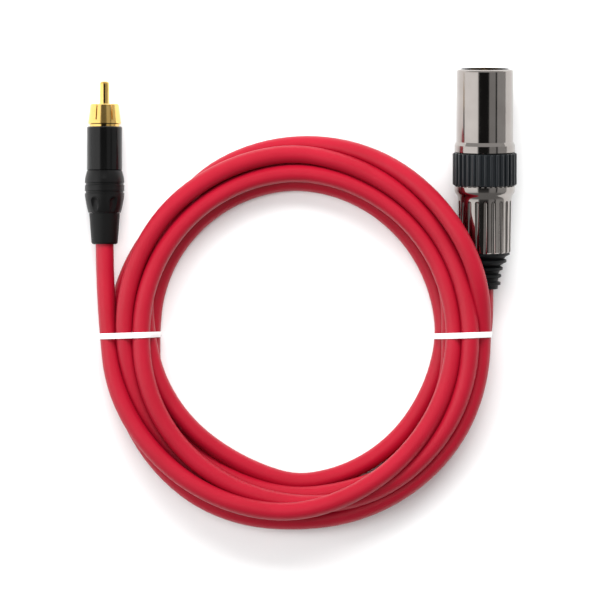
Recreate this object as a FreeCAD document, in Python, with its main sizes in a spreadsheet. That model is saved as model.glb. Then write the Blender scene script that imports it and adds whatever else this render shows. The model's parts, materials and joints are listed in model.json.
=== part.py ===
import FreeCAD, Part
import math
import os
import re
import Sketcher
from FreeCAD import Placement, Rotation, Vector

# A tied coil of round audio cable with a three-pin XLR plug on one end and an RCA plug on the other.
# Millimetres, +Z up, both plugs point along +Y. The origin is the middle of the underside of the box
# that holds the two plugs.

SIZES = {
    # the cable and what it fits in
    "cable_radius": 3.0,
    "core_radius": 0.7,
    "drain_radius": 0.45,
    "core_circle": 1.2,
    "core_straight": 2.0,
    "lead_length": 7.3,
    "rca_lead_length": 20.3,
    "cable_gap": 0.3,
    "running_gap": 0.05,
    "seam_gap": 0.1,
    "edge_break": 0.3,
    "plug_spacing": 126.9,
    "tip_behind_rim": 3.87,
    # XLR front shell, from its seam to its rim
    "front_length": 27.9,
    "barrel_radius": 9.5,
    "barrel_wall": 1.35,
    "rim_round": 0.9,
    "front_flange_radius": 10.1,
    "front_flange_length": 2.5,
    "flare_length": 1.2,
    "spigot_radius": 7.6,
    "spigot_wall": 0.7,
    "spigot_length": 7.5,
    "key_width": 2.4,
    "key_depth": 0.6,
    "latch_width": 4.4,
    "latch_length": 3.2,
    "latch_from_rim": 7.5,
    # XLR insert, pins and ground spring
    "insert_from_rim": 15.5,
    "insert_rim_length": 7.3,
    "insert_back_length": 4.6,
    "contact_radius": 1.2,
    "contact_root_radius": 1.6,
    "contact_circle": 4.8,
    "contact_from_rim": 1.5,
    "contact_tip": 0.6,
    "cup_radius": 1.5,
    "cup_bore": 0.9,
    "cup_length": 3.5,
    "spring_width": 1.6,
    "spring_thickness": 0.25,
    "spring_length": 9.0,
    # XLR coupling ring and the clip that holds it
    "ring_length": 10.8,
    "ring_radius": 10.7,
    "ring_thread_radius": 9.15,
    "ring_collar_length": 3.8,
    "knurl_radius": 0.55,
    "knurl_count": 32,
    "clip_width": 1.0,
    "clip_groove": 0.35,
    "clip_height": 0.35,
    # XLR rear shell
    "shell_length": 22.3,
    "shell_rear_radius": 8.75,
    "shell_waist_radius": 9.1,
    "shell_neck_radius": 8.6,
    "shell_neck_length": 2.0,
    "shell_flange_radius": 10.1,
    "shell_flange_length": 3.3,
    "shell_spigot_length": 5.5,
    "shell_spigot_wall": 0.85,
    "shell_bore": 7.3,
    "shell_end_wall": 1.8,
    "flute_radius": 1.15,
    "flute_circle": 9.6,
    "flute_count": 20,
    "shell_travel": 3.0,
    # XLR boot and cable chuck
    "boot_length": 12.2,
    "boot_neck_radius": 4.95,
    "boot_flange_radius": 6.9,
    "boot_flange_length": 1.2,
    "rib_pitch": 2.5,
    "rib_first": 1.8,
    "rib_half": 0.75,
    "rib_depth": 0.9,
    "rib_radius_a": 5.4,
    "rib_radius_b": 5.6,
    "rib_radius_c": 6.1,
    "rib_radius_d": 7.35,
    "rib_radius_e": 8.4,
    "chuck_grip_length": 17.4,
    "chuck_front_radius": 6.9,
    "chuck_rear_radius": 5.0,
    "chuck_nose_length": 5.0,
    "chuck_slot_width": 1.0,
    "chuck_slot_length": 10.0,
    "chuck_slot_count": 4,
    "chuck_rim_length": 1.5,
    "chuck_mouth": 5.6,
    # RCA tail sleeve
    "tail_length": 10.4,
    "tail_end_radius": 4.35,
    "tail_front_radius": 5.15,
    "tail_round_share": 0.76,
    "tail_neck_radius": 4.1,
    "tail_flange_radius": 4.55,
    "tail_flange_length": 1.0,
    # RCA barrel and grip
    "grip_length": 14.2,
    "grip_radius": 6.6,
    "grip_end_radius": 5.45,
    "grip_front_radius": 6.2,
    "grip_slope": 3.0,
    "grip_groove_depth": 0.35,
    "grip_groove_width": 0.9,
    "grip_groove_pitch": 2.8,
    "grip_groove_first": 7.0,
    "petal_radius": 1.9,
    "petal_circle": 7.8,
    "petal_length": 5.5,
    "petal_count": 6,
    "sleeve_length": 14.7,
    "sleeve_radius": 5.9,
    "stem_radius": 5.2,
    "stem_bore": 4.65,
    "stem_end_wall": 2.0,
    "sleeve_bore": 4.95,
    "rca_travel": 3.75,
    # RCA contacts
    "collar_length": 7.5,
    "collar_base_radius": 5.55,
    "collar_front_radius": 4.8,
    "collar_bore": 4.15,
    "collar_foot_radius": 5.0,
    "collar_foot_length": 0.7,
    "collar_slot_width": 0.5,
    "collar_slot_length": 5.3,
    "collar_slot_count": 6,
    "insulator_rim": 0.8,
    "web_length": 2.0,
    "web_bore": 2.6,
    "contact_spigot_length": 7.8,
    "contact_spigot_wall": 0.8,
    "tip_length": 7.6,
    "tip_radius": 1.59,
    "tip_back_radius": 1.75,
    "tip_round": 0.9,
    "tip_cup_bore": 1.0,
    "tip_cup_depth": 3.2,
    "tip_back_length": 6.0,
    "clamp_from_end": 15.2,
    "clamp_length": 5.0,
    "tongue_width": 2.4,
    "tongue_thickness": 0.6,
    "jacket_beyond_clamp": 1.5,
    # the coil and its ties
    "coil_centre_x": -1.75,
    "coil_centre_y": -51.2,
    "coil_outer": 65.9,
    "coil_inner": 46.3,
    "coil_height": 18.3,
    "coil_corner": 3.0,
    "coil_gap": 0.5,
    "tie_width": 1.9,
    "tie_thickness": 0.5,
    "tie_offset": 1.0,
}

doc = FreeCAD.newDocument("tied_audio_cable")
sheet = doc.addObject("Spreadsheet::Sheet", "Sizes")
for row, (alias, number) in enumerate(SIZES.items(), start=1):
    sheet.set(f"A{row}", alias)
    sheet.set(f"B{row}", str(number))
    sheet.setAlias(f"B{row}", alias)
doc.recompute()


def bound(text):
    """The expression with each size's name pointing at its cell in the sheet."""
    return re.sub(r"[a-z][a-z_]+", lambda word: "Sizes." + word.group(), text)


def val(text):
    """The number that an expression on the sheet's sizes comes to."""
    return float(sheet.evalExpression(bound(text)))


# stations along the XLR plug's own axis, from the boot's end (0) to the rim
shell_rear = "boot_length"
shell_front = f"{shell_rear} + shell_length"
ring_rear = f"{shell_front} + seam_gap"
ring_front = f"{ring_rear} + ring_length"
front_seam = f"{ring_front} + seam_gap"
rim = f"{front_seam} + front_length"
spigot_rear = f"{front_seam} - spigot_length"
clip_rear = f"{ring_front} - ring_collar_length - seam_gap - clip_width"
insert_front = f"{rim} - insert_from_rim"
insert_step = f"{insert_front} - insert_rim_length"
insert_rear = f"{insert_step} - insert_back_length"
cup_rear = f"{insert_rear} - cup_length"
flange_rear = f"{shell_front} - shell_flange_length"
neck_rear = f"{flange_rear} - shell_neck_length"
boot_flange_rear = f"{shell_rear} + shell_end_wall + running_gap"
chuck_rear = f"{boot_flange_rear} + boot_flange_length + 2 * cable_gap"
xlr_jacket_end = f"{chuck_rear} + chuck_grip_length"

# stations along the RCA plug's own axis, from the tail's end (0) to the tip
grip_rear = "tail_length + seam_gap"
grip_front = f"{grip_rear} + grip_length - seam_gap"
sleeve_front = f"{grip_front} + sleeve_length"
foot_rear = f"{sleeve_front} + running_gap"
collar_rear = f"{foot_rear} + collar_foot_length"
insulator_front = f"{collar_rear} + insulator_rim"
collar_front = f"{foot_rear} + collar_length"
tip_front = f"{collar_front} + tip_length"
web_rear = f"{collar_rear} - web_length"
contact_rear = f"{foot_rear} - contact_spigot_length"
tip_rear = f"{web_rear} - tip_back_length"
stem_wall_front = f"{grip_rear} + stem_end_wall"
clamp_front = "clamp_from_end + clamp_length"
rca_jacket_end = f"{clamp_front} + jacket_beyond_clamp"


# ---- building blocks -------------------------------------------------------------------------------


def plane(body, role):
    """One of the body's own origin planes or axes, found by its role."""
    return next(item for item in body.Origin.OriginFeatures if item.Role == role)


def new_sketch(body, name, role="XZ_Plane"):
    sketch = body.newObject("Sketcher::SketchObject", name)
    sketch.AttachmentSupport = (plane(body, role), "")
    sketch.MapMode = "FlatFace"
    return sketch


def tie_down(sketch, index, corner, across, along):
    """Hold one end of a line at a distance given by two expressions on the sheet."""
    for kind, axis, text in (("DistanceX", -2, across), ("DistanceY", -1, along)):
        number = val(text)
        if number == 0:
            sketch.addConstraint(Sketcher.Constraint("PointOnObject", index, corner, axis))
            continue
        name = f"{kind}_{index}_{corner}"
        held = Sketcher.Constraint(kind, -1, 1, index, corner, number)
        sketch.addConstraint(held)
        sketch.renameConstraint(sketch.ConstraintCount - 1, name)
        sketch.setExpression(f"Constraints.{name}", bound(text))


def polygon(sketch, corners):
    """A closed outline of straight sides through corners, each a pair of expressions."""
    spots = [Vector(val(across), val(along), 0) for across, along in corners]
    for index, spot in enumerate(spots):
        following = spots[(index + 1) % len(spots)]
        sketch.addGeometry(Part.LineSegment(spot, following), False)
    for index in range(len(spots)):
        joined = (index + 1) % len(spots)
        sketch.addConstraint(Sketcher.Constraint("Coincident", index, 2, joined, 1))
    for index, (across, along) in enumerate(corners):
        tie_down(sketch, index, 1, across, along)


def new_body(name, place=None):
    body = doc.addObject("PartDesign::Body", name)
    body.Label = name
    body.Placement = place or Placement()
    return body


def turned(name, corners, place=None, sweep=360.0):
    """A body of revolution about its own Z axis: corners are (radius, station) pairs."""
    body = new_body(name, place)
    sketch = new_sketch(body, name + "_outline")
    polygon(sketch, corners)
    turn = body.newObject("PartDesign::Revolution", name + "_turn")
    turn.Profile = sketch
    turn.ReferenceAxis = (sketch, ["V_Axis"])
    turn.Angle = sweep
    doc.recompute()
    return body


def rounded(body, station, radius, least=0.0):
    """Round the body's circular edges that lie at a station of its own axis, outside a least radius."""
    base = body.Tip
    names = []
    for number, edge in enumerate(base.Shape.Edges, start=1):
        box = edge.BoundBox
        level = abs(box.ZMin - val(station)) < 0.001 and box.ZLength < 0.001
        if level and edge.Curve.TypeId == "Part::GeomCircle" and edge.Curve.Radius > least:
            names.append(f"Edge{number}")
    fillet = body.newObject("PartDesign::Fillet", f"{body.Name}_round_{len(body.Group)}")
    fillet.Base = (base, names)
    fillet.Radius = val(radius)
    fillet.setExpression("Radius", bound(radius))
    body.Tip = fillet
    doc.recompute()


def around(body, feature, count):
    """Repeat a feature round the body's Z axis."""
    pattern = body.newObject("PartDesign::PolarPattern", feature.Name + "_pattern")
    pattern.Originals = [feature]
    pattern.Axis = (plane(body, "Z_Axis"), [""])
    pattern.Angle = 360
    pattern.Occurrences = int(val(count))
    pattern.setExpression("Occurrences", bound(count))
    body.Tip = pattern
    doc.recompute()


def fluted(body, cutter, circle, start, end, count):
    """Grooves along the body, cut by a round-nosed cutter whose axis lies on a circle."""
    sketch = new_sketch(body, body.Name + "_flute_outline")
    nose = f"{end} - {cutter}"
    polygon(
        sketch,
        [
            (circle, start),
            (f"{circle} - {cutter}", start),
            (f"{circle} - {cutter}", nose),
            (f"{circle} - 0.8 * {cutter}", f"{nose} + 0.6 * {cutter}"),
            (f"{circle} - 0.45 * {cutter}", f"{nose} + 0.9 * {cutter}"),
            (circle, end),
        ],
    )
    centre = Vector(val(circle), val(start), 0)
    far = Vector(val(circle), val(end), 0)
    line = sketch.addGeometry(Part.LineSegment(centre, far), True)
    tie_down(sketch, line, 1, circle, start)
    tie_down(sketch, line, 2, circle, end)
    groove = body.newObject("PartDesign::Groove", body.Name + "_flute")
    groove.Profile = sketch
    groove.ReferenceAxis = (sketch, ["Axis0"])
    groove.Angle = 360
    doc.recompute()
    around(body, groove, count)


def slit(body, width, inner, outer, start, end, count=None):
    """A radial slot of even width through the wall, from start to end, repeated where count says."""
    sketch = new_sketch(body, body.Name + "_slit_outline")
    polygon(sketch, [(inner, start), (outer, start), (outer, end), (inner, end)])
    pocket = body.newObject("PartDesign::Pocket", body.Name + "_slit")
    pocket.Profile = sketch
    pocket.Midplane = True
    pocket.Length = val(width)
    pocket.setExpression("Length", bound(width))
    doc.recompute()
    if count:
        around(body, pocket, count)


def tube(path, radius):
    """A closed round tube along straight runs joined by tangent arcs, and its length and least radius."""
    runs = [after - before for before, after in zip(path, path[1:])]
    edges = []
    radii = []
    begin = path[0]
    for corner, before, after in zip(path[1:-1], runs, runs[1:]):
        turn = before.getAngle(after)
        cut = 0.45 * min(before.Length, after.Length)
        bend = cut / math.tan(turn / 2)
        inward = Vector(before).normalize() * -1
        outward = Vector(after).normalize()
        arc_start = corner + inward * cut
        arc_end = corner + outward * cut
        bisector = (inward + outward).normalize()
        centre = corner + bisector * math.hypot(bend, cut)
        middle = centre - bisector * bend
        edges.append(Part.LineSegment(begin, arc_start).toShape())
        edges.append(Part.Arc(arc_start, middle, arc_end).toShape())
        radii.append(bend)
        begin = arc_end
    edges.append(Part.LineSegment(begin, path[-1]).toShape())
    wire = Part.Wire(edges)
    profile = Part.Wire([Part.makeCircle(radius, path[0], runs[0])])
    solid = wire.makePipeShell([profile], True, False)
    return solid, wire.Length, radii


def cord(name, path, radius, place=None):
    """A sub-part that is a plain tube, checked against its section times its length."""
    solid, length, radii = tube(path, radius)
    expected = math.pi * radius**2 * length
    if abs(solid.Volume - expected) > 0.01 * expected:
        raise ValueError(f"{name}: the tube holds {solid.Volume:.1f} mm3, not {expected:.1f}")
    bends = ", ".join(f"{bend:.1f}" for bend in radii) or "none, it is straight"
    print(f"{name}: length {length:.1f} mm, bend radii {bends}")
    feature = doc.addObject("Part::Feature", name)
    feature.Shape = solid
    feature.Label = name
    feature.Placement = place or Placement()
    return feature


# ---- where the plugs lie ---------------------------------------------------------------------------

xlr_x = val("(plug_spacing - ring_radius + grip_radius) / 2")
rca_x = xlr_x - val("plug_spacing")

# the XLR plug rests on the rear edge of its ring and the rear edge of its shell, so its tail is lower
rest_front = val(f"{ring_rear} + edge_break")
rest_rear = val(f"{shell_rear} + edge_break")
rest_rise = val("ring_radius - shell_rear_radius")
tilt = math.atan2(rest_rise, rest_front - rest_rear)
boot_end_z = val("ring_radius") * math.cos(tilt) - rest_front * math.sin(tilt)
half_plug = val(rim) / 2 * math.cos(tilt)
xlr_place = Placement(
    Vector(xlr_x, -half_plug, boot_end_z), Rotation(Vector(1, 0, 0), math.degrees(tilt) - 90)
)
rca_tail_y = half_plug - val(f"tip_behind_rim + {tip_front}")
rca_place = Placement(
    Vector(rca_x, rca_tail_y, val("grip_radius")), Rotation(Vector(1, 0, 0), -90)
)


def on_plug(plug, across, deep=0.0, along=0.0):
    """A place at an offset from a plug's axis: deep is towards the surface it lies on."""
    return plug.multiply(Placement(Vector(across, deep, along), Rotation()))


# ---- XLR plug --------------------------------------------------------------------------------------

front_shell = turned(
    "xlr_front_shell",
    [
        ("spigot_radius", spigot_rear),
        ("spigot_radius", clip_rear),
        ("spigot_radius - clip_groove", clip_rear),
        ("spigot_radius - clip_groove", f"{clip_rear} + clip_width"),
        ("spigot_radius", f"{clip_rear} + clip_width"),
        ("spigot_radius", front_seam),
        ("front_flange_radius - edge_break", front_seam),
        ("front_flange_radius", f"{front_seam} + edge_break"),
        ("front_flange_radius", f"{front_seam} + front_flange_length"),
        ("barrel_radius", f"{front_seam} + front_flange_length + flare_length"),
        ("barrel_radius", rim),
        ("barrel_radius - barrel_wall", rim),
        ("barrel_radius - barrel_wall", insert_step),
        ("spigot_radius - spigot_wall", insert_step),
        ("spigot_radius - spigot_wall", spigot_rear),
    ],
    xlr_place,
)
rounded(front_shell, rim, "rim_round", val("barrel_radius - edge_break"))


def wall_cut(body, name, width, start, end, depth):
    """A square-edged cut in the underside of the barrel's wall, from its bore outwards."""
    sketch = new_sketch(body, name + "_outline", "YZ_Plane")
    inner = "0.8 * (barrel_radius - barrel_wall)"
    outer = f"barrel_radius - barrel_wall + {depth}"
    polygon(sketch, [(inner, start), (outer, start), (outer, end), (inner, end)])
    pocket = body.newObject("PartDesign::Pocket", name)
    pocket.Profile = sketch
    pocket.Midplane = True
    pocket.Length = val(width)
    pocket.setExpression("Length", bound(width))
    doc.recompute()


wall_cut(front_shell, "keyway", "key_width", f"{insert_front} + edge_break", f"{rim} + 1", "key_depth")
latch_front = f"{rim} - latch_from_rim"
wall_cut(
    front_shell,
    "latch_window",
    "latch_width",
    f"{latch_front} - latch_length",
    latch_front,
    "barrel_wall + 1",
)

insert = turned(
    "xlr_pin_insert",
    [
        ("0", insert_rear),
        ("spigot_radius - spigot_wall - running_gap", insert_rear),
        ("spigot_radius - spigot_wall - running_gap", insert_step),
        ("barrel_radius - barrel_wall", insert_step),
        ("barrel_radius - barrel_wall", insert_front),
        ("0", insert_front),
    ],
    xlr_place,
)

# pins 1 and 2 face each other across the axis, and pin 3 is a quarter turn from both, opposite the key
circle = val("contact_circle")
PIN_SPOTS = [(-circle, 0.0), (circle, 0.0), (0.0, -circle)]
holes = new_sketch(insert, "pin_holes", "XY_Plane")
for number, (across, deep) in enumerate(PIN_SPOTS):
    spot = Vector(across, deep, 0)
    holes.addGeometry(Part.Circle(spot, Vector(0, 0, 1), val("contact_root_radius")), False)
    holes.addConstraint(Sketcher.Constraint("Radius", number, val("contact_root_radius")))
    holes.renameConstraint(holes.ConstraintCount - 1, f"hole_{number}")
    holes.setExpression(f"Constraints.hole_{number}", bound("contact_root_radius"))
    if across:
        holes.addConstraint(Sketcher.Constraint("PointOnObject", number, 3, -1))
        held = Sketcher.Constraint("DistanceX", -1, 1, number, 3, across)
    else:
        holes.addConstraint(Sketcher.Constraint("PointOnObject", number, 3, -2))
        held = Sketcher.Constraint("DistanceY", -1, 1, number, 3, deep)
    holes.addConstraint(held)
    holes.renameConstraint(holes.ConstraintCount - 1, f"circle_{number}")
    sign = "-" if min(across, deep) < 0 else ""
    holes.setExpression(f"Constraints.circle_{number}", bound(f"{sign}contact_circle"))
drilled = insert.newObject("PartDesign::Pocket", "pin_drilling")
drilled.Profile = holes
drilled.Type = 1
drilled.Midplane = True
doc.recompute()

for number, (across, deep) in enumerate(PIN_SPOTS, start=1):
    turned(
        f"xlr_pin_{number}",
        [
            ("cup_bore", cup_rear),
            ("cup_radius", cup_rear),
            ("cup_radius", insert_rear),
            ("contact_root_radius", insert_rear),
            ("contact_root_radius", insert_front),
            ("contact_radius", insert_front),
            ("contact_radius", f"{rim} - contact_from_rim - contact_tip"),
            ("contact_radius - contact_tip", f"{rim} - contact_from_rim"),
            ("0", f"{rim} - contact_from_rim"),
            ("0", f"{insert_rear} - edge_break"),
            ("cup_bore", f"{insert_rear} - edge_break"),
        ],
        on_plug(xlr_place, across, deep),
    )

spring = doc.addObject("Part::Box", "xlr_ground_spring")
spring.setExpression("Length", bound("spring_width"))
spring.setExpression("Width", bound("spring_thickness"))
spring.setExpression("Height", bound("spring_length"))
spring_depth = val("barrel_radius - barrel_wall - spring_thickness - running_gap")
spring_x = -val("spring_width") / 2
spring.Placement = xlr_place.multiply(
    Placement(Vector(0, 0, val(insert_front)), Rotation(Vector(0, 0, 1), 45))
).multiply(Placement(Vector(spring_x, -spring_depth - val("spring_thickness"), 0), Rotation()))

turned(
    "xlr_ring_clip",
    [
        ("spigot_radius - clip_groove", clip_rear),
        ("spigot_radius + clip_height", clip_rear),
        ("spigot_radius + clip_height", f"{clip_rear} + clip_width"),
        ("spigot_radius - clip_groove", f"{clip_rear} + clip_width"),
    ],
    xlr_place,
    330.0,
)

ring_hollow_front = f"{ring_front} - ring_collar_length"
ring = turned(
    "xlr_coupling_ring",
    [
        ("ring_thread_radius", ring_rear),
        ("ring_radius - edge_break", ring_rear),
        ("ring_radius", f"{ring_rear} + edge_break"),
        ("ring_radius", f"{ring_front} - edge_break"),
        ("ring_radius - edge_break", ring_front),
        ("spigot_radius + running_gap", ring_front),
        ("spigot_radius + running_gap", ring_hollow_front),
        ("ring_thread_radius", ring_hollow_front),
    ],
    xlr_place,
)
fluted(
    ring,
    "knurl_radius",
    "ring_radius",
    f"{ring_rear} + 2 * edge_break",
    f"{ring_front} - 2 * edge_break",
    "knurl_count",
)

shell_spigot_radius = "ring_thread_radius - running_gap"
rear_shell = turned(
    "xlr_rear_shell",
    [
        ("boot_neck_radius", shell_rear),
        ("shell_rear_radius - edge_break", shell_rear),
        ("shell_rear_radius", f"{shell_rear} + edge_break"),
        ("shell_waist_radius", neck_rear),
        ("shell_neck_radius", f"{neck_rear} + edge_break"),
        ("shell_neck_radius", flange_rear),
        ("shell_flange_radius - edge_break", flange_rear),
        ("shell_flange_radius", f"{flange_rear} + edge_break"),
        ("shell_flange_radius", f"{shell_front} - edge_break"),
        ("shell_flange_radius - edge_break", shell_front),
        (shell_spigot_radius, shell_front),
        (shell_spigot_radius, f"{shell_front} + shell_spigot_length"),
        (f"{shell_spigot_radius} - shell_spigot_wall", f"{shell_front} + shell_spigot_length"),
        (f"{shell_spigot_radius} - shell_spigot_wall", shell_front),
        ("shell_bore", f"{shell_front} - edge_break"),
        ("shell_bore", f"{shell_rear} + shell_end_wall"),
        ("boot_neck_radius", f"{shell_rear} + shell_end_wall"),
    ],
    xlr_place,
)
fluted(
    rear_shell,
    "flute_radius",
    "flute_circle",
    f"{shell_rear} - 1",
    f"{neck_rear} - 3 * edge_break",
    "flute_count",
)

RIBS = ["rib_radius_a", "rib_radius_b", "rib_radius_c", "rib_radius_d", "rib_radius_e"]
boot_outline = [("cable_radius + cable_gap", "0"), ("rib_radius_a - rib_depth", "0")]
for step, radius in enumerate(RIBS):
    middle = f"rib_first + {step} * rib_pitch"
    boot_outline.append((f"{radius} - rib_depth", f"{middle} - rib_half"))
    boot_outline.append((radius, f"{middle} - rib_half / 2"))
    if radius != RIBS[-1]:
        boot_outline.append((radius, f"{middle} + rib_half / 2"))
        boot_outline.append((f"{radius} - rib_depth", f"{middle} + rib_half"))
boot_outline += [
    (RIBS[-1], shell_rear),
    ("boot_neck_radius", shell_rear),
    ("boot_neck_radius", boot_flange_rear),
    ("boot_flange_radius", boot_flange_rear),
    ("boot_flange_radius", f"{boot_flange_rear} + boot_flange_length"),
    ("cable_radius + cable_gap", f"{boot_flange_rear} + boot_flange_length"),
]
turned("xlr_boot", boot_outline, xlr_place)

chuck = turned(
    "xlr_cable_chuck",
    [
        ("cable_radius", chuck_rear),
        ("chuck_rear_radius", chuck_rear),
        ("chuck_front_radius", f"{chuck_rear} + chuck_nose_length"),
        ("chuck_front_radius", f"{spigot_rear} - chuck_rim_length"),
        ("spigot_radius", f"{spigot_rear} - chuck_rim_length"),
        ("spigot_radius", spigot_rear),
        ("chuck_mouth", spigot_rear),
        ("chuck_mouth", xlr_jacket_end),
        ("cable_radius", xlr_jacket_end),
    ],
    xlr_place,
)
slit(
    chuck,
    "chuck_slot_width",
    "cable_radius - cable_gap",
    "chuck_front_radius + 1",
    f"{chuck_rear} - 1",
    f"{chuck_rear} + chuck_slot_length",
    "chuck_slot_count",
)

# the cable's straight end runs along the plug's axis and stops at the coil, past the boot's travel
lead_stop = val("shell_travel + lead_length")
xlr_lead = cord(
    "cable_lead_xlr",
    [Vector(0, 0, val(xlr_jacket_end)), Vector(0, 0, -lead_stop)],
    val("cable_radius"),
    xlr_place,
)

start_ring = val("core_circle")
wire_start = val(xlr_jacket_end)
wire_end = val(f"{insert_rear} - edge_break")
spread_start = wire_start + val("core_straight")
spread_end = val(cup_rear) - val("core_straight")
XLR_WIRES = [
    ("xlr_drain_wire", PIN_SPOTS[0], "drain_radius"),
    ("xlr_core_hot", PIN_SPOTS[1], "core_radius"),
    ("xlr_core_cold", PIN_SPOTS[2], "core_radius"),
]
for name, (across, deep), radius in XLR_WIRES:
    out = Vector(across, deep, 0)
    near = Vector(out).normalize() * start_ring
    along = [wire_start, spread_start, spread_end, wire_end]
    route = [spot + Vector(0, 0, at) for spot, at in zip((near, near, out, out), along)]
    cord(name, route, val(radius), xlr_place)

# ---- RCA plug --------------------------------------------------------------------------------------

contact_outer = "sleeve_bore - running_gap"
contact = turned(
    "rca_outer_contact",
    [
        (f"{contact_outer} - contact_spigot_wall", contact_rear),
        (contact_outer, contact_rear),
        (contact_outer, foot_rear),
        ("collar_foot_radius", foot_rear),
        ("collar_foot_radius", collar_rear),
        ("collar_base_radius - edge_break", collar_rear),
        ("collar_base_radius", f"{collar_rear} + edge_break"),
        ("collar_front_radius", f"{collar_front} - edge_break"),
        ("collar_front_radius - edge_break", collar_front),
        ("collar_bore", collar_front),
        ("collar_bore", collar_rear),
        ("web_bore", collar_rear),
        ("web_bore", web_rear),
        (f"{contact_outer} - contact_spigot_wall", web_rear),
    ],
    rca_place,
)
slit(
    contact,
    "collar_slot_width",
    "collar_bore - 1",
    "collar_base_radius + 1",
    f"{collar_front} - collar_slot_length",
    f"{collar_front} + 1",
    "collar_slot_count",
)

turned(
    "rca_insulator",
    [
        ("tip_back_radius", web_rear),
        ("web_bore", web_rear),
        ("web_bore", collar_rear),
        ("collar_bore", collar_rear),
        ("collar_bore", insulator_front),
        ("tip_back_radius", insulator_front),
    ],
    rca_place,
)

pin = turned(
    "rca_center_pin",
    [
        ("tip_cup_bore", tip_rear),
        ("tip_back_radius", tip_rear),
        ("tip_back_radius", insulator_front),
        ("tip_radius", insulator_front),
        ("tip_radius", tip_front),
        ("0", tip_front),
        ("0", f"{tip_rear} + tip_cup_depth"),
        ("tip_cup_bore", f"{tip_rear} + tip_cup_depth"),
    ],
    rca_place,
)
rounded(pin, tip_front, "tip_round")

tail = turned(
    "rca_tail_sleeve",
    [
        ("cable_radius + cable_gap", "0"),
        ("tail_end_radius", "0"),
        ("tail_front_radius", "tail_length"),
        ("tail_neck_radius", "tail_length"),
        ("tail_neck_radius", f"{stem_wall_front} + running_gap"),
        ("tail_flange_radius", f"{stem_wall_front} + running_gap"),
        ("tail_flange_radius", f"{stem_wall_front} + running_gap + tail_flange_length"),
        ("cable_radius + cable_gap", f"{stem_wall_front} + running_gap + tail_flange_length"),
    ],
    rca_place,
)
tail_round = "tail_round_share * (tail_end_radius - cable_radius - cable_gap)"
rounded(tail, "0", tail_round, val("cable_radius + 2 * cable_gap"))

turned(
    "rca_barrel",
    [
        ("tail_neck_radius + running_gap", grip_rear),
        ("stem_radius", grip_rear),
        ("stem_radius", grip_front),
        ("sleeve_radius - edge_break", grip_front),
        ("sleeve_radius", f"{grip_front} + edge_break"),
        ("sleeve_radius", f"{sleeve_front} - edge_break"),
        ("sleeve_radius - edge_break", sleeve_front),
        ("sleeve_bore", sleeve_front),
        ("sleeve_bore", f"{contact_rear} - 1"),
        ("stem_bore", f"{contact_rear} - 1"),
        ("stem_bore", stem_wall_front),
        ("tail_neck_radius + running_gap", stem_wall_front),
    ],
    rca_place,
)

grip_outline = [
    ("stem_radius", grip_rear),
    ("grip_end_radius", grip_rear),
    ("grip_radius - edge_break", f"{grip_rear} + grip_slope"),
    ("grip_radius", f"{grip_rear} + 2 * grip_slope"),
]
for step in (0, 1):
    groove_start = f"{grip_rear} + grip_groove_first + {step} * grip_groove_pitch"
    grip_outline += [
        ("grip_radius", groove_start),
        ("grip_radius - grip_groove_depth", f"{groove_start} + 0.2 * grip_groove_width"),
        ("grip_radius - grip_groove_depth", f"{groove_start} + 0.8 * grip_groove_width"),
        ("grip_radius", f"{groove_start} + grip_groove_width"),
    ]
grip_outline += [("grip_front_radius", grip_front), ("stem_radius", grip_front)]
grip = turned("rca_grip_sleeve", grip_outline, rca_place)
fluted(
    grip,
    "petal_radius",
    "petal_circle",
    f"{grip_rear} - 1",
    f"{grip_rear} + petal_length",
    "petal_count",
)

clamp_outer = "sleeve_bore - contact_spigot_wall - cable_gap"
clamp_ring = turned(
    "clamp_ring",
    [
        ("cable_radius", "clamp_from_end"),
        (clamp_outer, "clamp_from_end"),
        (clamp_outer, clamp_front),
        ("cable_radius", clamp_front),
    ],
    rca_place,
)
tongue = doc.addObject("Part::Box", "clamp_tongue")
tongue.setExpression("Length", bound("tongue_width"))
tongue.setExpression("Width", bound("tongue_thickness"))
tongue.setExpression("Height", bound(f"{web_rear} - clamp_from_end"))
tongue_across = -val("tongue_width") / 2
tongue_deep = val(f"{clamp_outer} - tongue_thickness")
tongue.Placement = on_plug(rca_place, tongue_across, tongue_deep, val("clamp_from_end"))
clamp = doc.addObject("Part::Fuse", "rca_cable_clamp")
clamp.Base = clamp_ring
clamp.Tool = tongue

rca_lead = cord(
    "cable_lead_rca",
    [Vector(0, 0, val(rca_jacket_end)), Vector(0, 0, -val("rca_lead_length"))],
    val("cable_radius"),
    rca_place,
)
wire_start = val(rca_jacket_end)
straight = val("core_straight")
cord(
    "rca_core_hot",
    [
        Vector(0, -start_ring, wire_start),
        Vector(0, -start_ring, wire_start + straight),
        Vector(0, 0, val(tip_rear) - straight),
        Vector(0, 0, val(f"{tip_rear} + tip_cup_depth")),
    ],
    val("core_radius"),
    rca_place,
)
drain_deep = tongue_deep - val("drain_radius")
cord(
    "rca_drain_wire",
    [
        Vector(0, start_ring, wire_start),
        Vector(0, start_ring, wire_start + straight),
        Vector(0, drain_deep, val(contact_rear) - 2 * straight),
        Vector(0, drain_deep, val(contact_rear)),
    ],
    val("drain_radius"),
    rca_place,
)

# ---- the coil and its ties -------------------------------------------------------------------------

centre = Vector(val("coil_centre_x"), val("coil_centre_y"), 0)
coil_ring = turned(
    "coil_ring",
    [
        ("coil_inner", "0"),
        ("coil_outer", "0"),
        ("coil_outer", "coil_height"),
        ("coil_inner", "coil_height"),
    ],
    Placement(centre, Rotation()),
)
rounded(coil_ring, "0", "coil_corner")
rounded(coil_ring, "coil_height", "coil_corner")

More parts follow.
